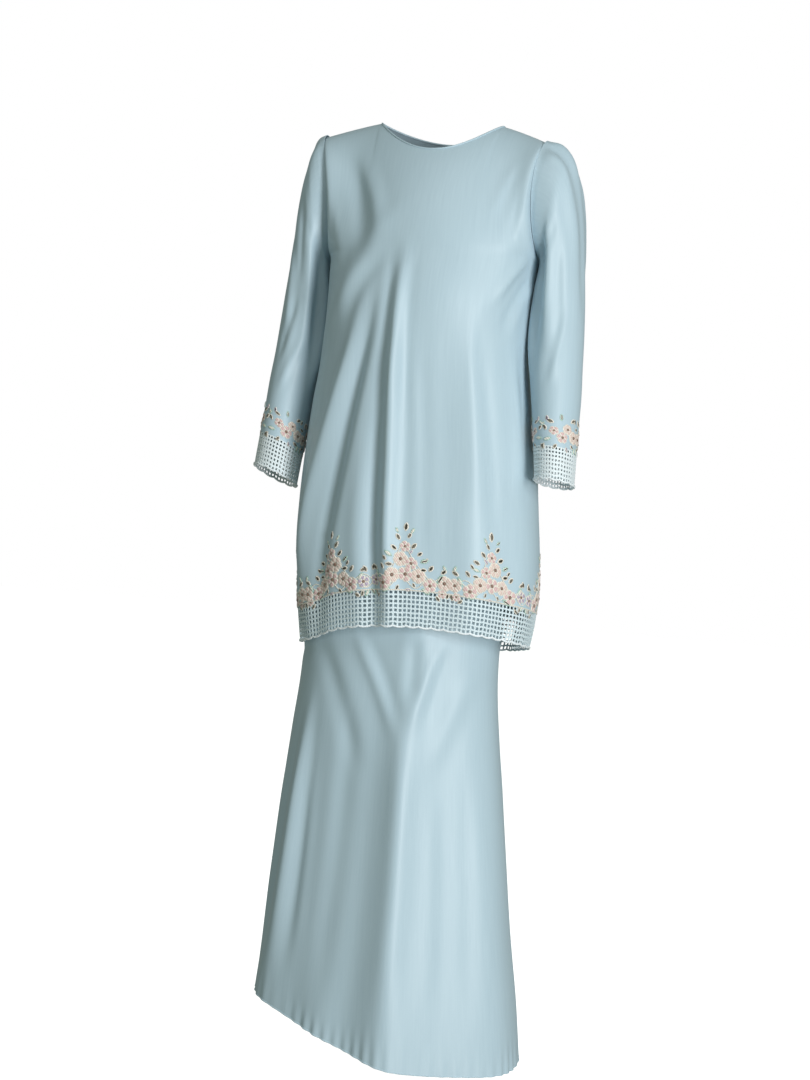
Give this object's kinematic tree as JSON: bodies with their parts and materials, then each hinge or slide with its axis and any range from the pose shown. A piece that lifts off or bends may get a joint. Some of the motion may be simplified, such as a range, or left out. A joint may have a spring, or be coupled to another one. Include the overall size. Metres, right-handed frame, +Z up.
{
  "type": "baju kurung",
  "caption": "Satin baju kurung as it is worn: a loose long-sleeved tunic with lace at hem and cuffs over a flared ankle-length skirt, hollow, held up at the shoulders.",
  "frame": {"origin": "midway between the neck ends of the two shoulder seams, where a wearer's shoulders carry the tunic", "axes": "+Z up, -Y the way the wearer faces, +X the wearer's left"},
  "size_m": [0.5052, 0.3861, 1.4406],
  "materials": {
    "aqua_satin": "soft satin-faced cloth with a low sheen",
    "aqua_lace": "matt embroidered net with a scalloped edge"
  },
  "bodies": {
    "root": {"tunic_front": "aqua_satin", "tunic_back": "aqua_satin", "sleeve_left": "aqua_satin", "sleeve_right": "aqua_satin", "hem_lace_front": "aqua_lace", "hem_lace_back": "aqua_lace", "cuff_lace_left": "aqua_lace", "cuff_lace_right": "aqua_lace", "skirt_front": "aqua_satin", "skirt_back": "aqua_satin", "skirt_waistband": "aqua_satin"}
  },
  "joints": []
}
